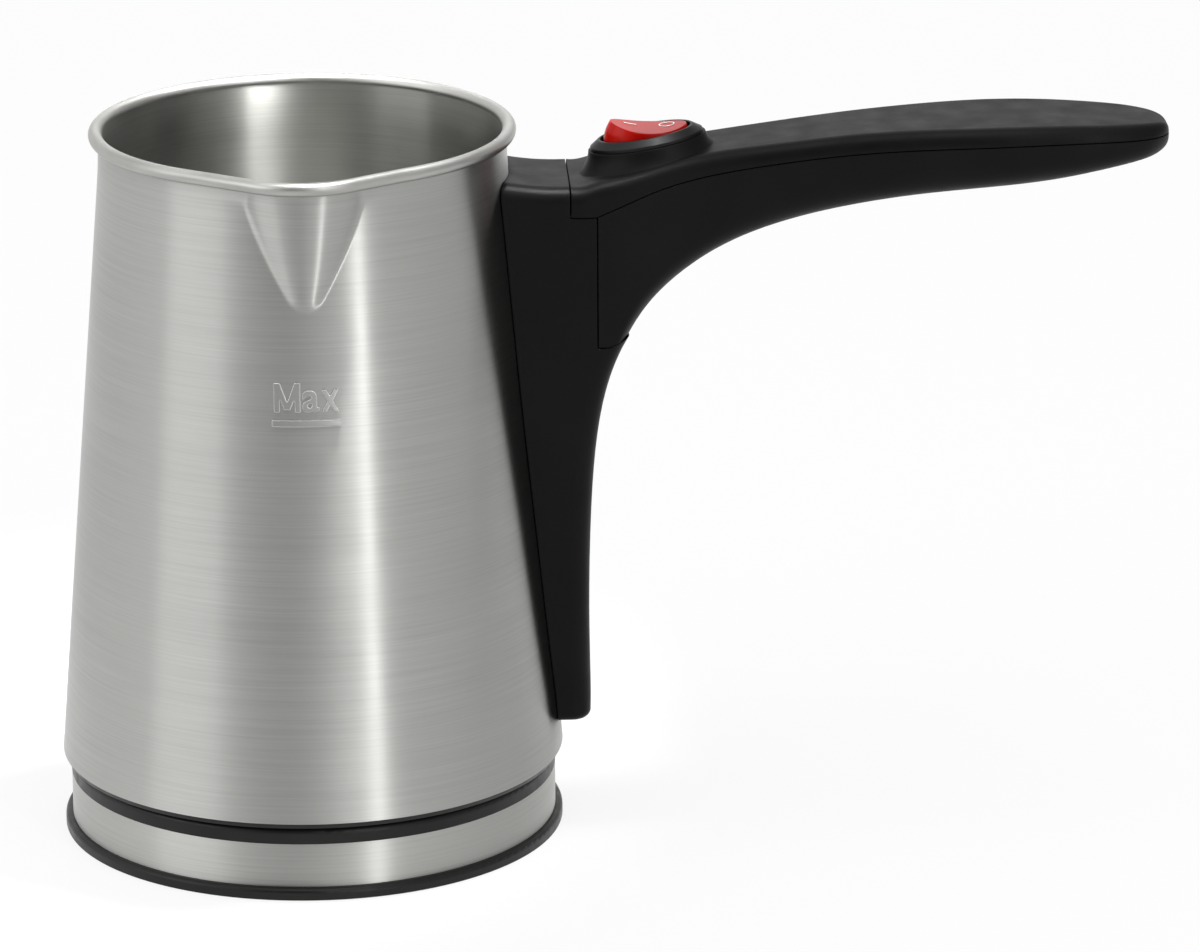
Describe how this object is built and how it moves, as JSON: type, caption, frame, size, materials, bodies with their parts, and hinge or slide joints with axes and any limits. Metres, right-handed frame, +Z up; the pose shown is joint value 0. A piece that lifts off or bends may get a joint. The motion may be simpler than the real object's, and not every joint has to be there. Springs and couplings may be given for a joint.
{
  "type": "cordless electric coffee pot",
  "caption": "Tall tapered steel coffee pot with a pouring lip, a long straight handle with a rocker switch, and a round power base it turns on and lifts off.",
  "frame": {"origin": "the pot's vertical axis where it meets the table", "axes": "+Z up along the pot's axis, +X along the handle away from the pot, -Y towards the pouring lip"},
  "size_m": [0.2285, 0.104, 0.1488],
  "materials": {
    "brushed_steel": "fine brushing round the pot",
    "satin_steel": "satin band with fine brushing",
    "sheath_steel": "plain bright steel",
    "cast_aluminium": "as cast",
    "contact_brass": "plated contacts",
    "screw_steel": "zinc plated",
    "black_plastic": "moulded, slightly glossy",
    "handle_black": "moulded, satin",
    "bezel_grey": "moulded, satin",
    "red_translucent": "clear red, glossy",
    "dark_acetal": "natural acetal",
    "black_rubber": "soft black rubber",
    "white_ceramic": "ceramic body",
    "brown_insulation": "silicone sleeve",
    "blue_insulation": "silicone sleeve",
    "white_insulation": "silicone sleeve",
    "lamp_glass": "small glow lamp"
  },
  "bodies": {
    "base": {"base_lower_shell": "black_plastic", "base_trim_band": "satin_steel", "base_upper_shell": "black_plastic", "base_connector": "black_plastic", "base_live_contact": "contact_brass", "base_neutral_contact": "contact_brass", "base_earth_contact": "contact_brass", "connector_screws": "screw_steel", "base_screws": "screw_steel", "rubber_feet": "black_rubber", "cord_bush": "black_rubber", "cord_clamp": "black_plastic", "cord_clamp_screws": "screw_steel"},
    "swivel_ring": {"swivel_ring": "dark_acetal"},
    "pot": {"pot_wall": "brushed_steel", "pot_floor": "brushed_steel", "heater_plate": "cast_aluminium", "heating_element": "sheath_steel", "element_cold_pins": "screw_steel", "bottom_cover": "black_plastic", "bottom_cover_screws": "screw_steel", "connector_socket": "black_plastic", "socket_pin": "contact_brass", "socket_neutral_ring": "contact_brass", "socket_earth_ring": "contact_brass", "dry_boil_disc": "sheath_steel", "thermal_fuse": "white_ceramic", "wire_grommet": "black_rubber", "feed_wire": "brown_insulation", "return_wire": "blue_insulation", "lamp_wire": "white_insulation", "handle_bracket": "sheath_steel", "handle_screws": "screw_steel", "handle_column": "handle_black", "handle_lower_shell": "handle_black", "handle_upper_cover": "handle_black", "grip_screws": "screw_steel", "switch_housing": "bezel_grey", "switch_terminals": "contact_brass"},
    "rocker": {"switch_rocker": "red_translucent", "switch_lamp": "lamp_glass", "switch_plunger": "dark_acetal", "switch_spring": "screw_steel"},
    "contact_lever": {"contact_lever": "contact_brass"}
  },
  "joints": [
    {"name": "pot_swivel", "type": "hinge", "parent": "base", "child": "swivel_ring", "pos_m": [0, 0, 0.0138], "axis": [0, 0, 1], "continuous": true},
    {"name": "pot_lift", "type": "slide", "parent": "swivel_ring", "child": "pot", "axis": [0, 0, 1], "range_m": [0, 0.012]},
    {"name": "rocker_tilt", "type": "hinge", "parent": "pot", "child": "rocker", "pos_m": [0.0701, 0, 0.14351], "axis": [0, -1, 0], "range_deg": [0, 24]},
    {"name": "lever_tilt", "type": "hinge", "parent": "pot", "child": "contact_lever", "pos_m": [0.07142, 0, 0.13582], "axis": [0, 1, 0], "range_deg": [0, 12]}
  ],
  "couplings": [
    {"joint": "lever_tilt", "follows": "rocker_tilt", "ratio": 0.5}
  ]
}
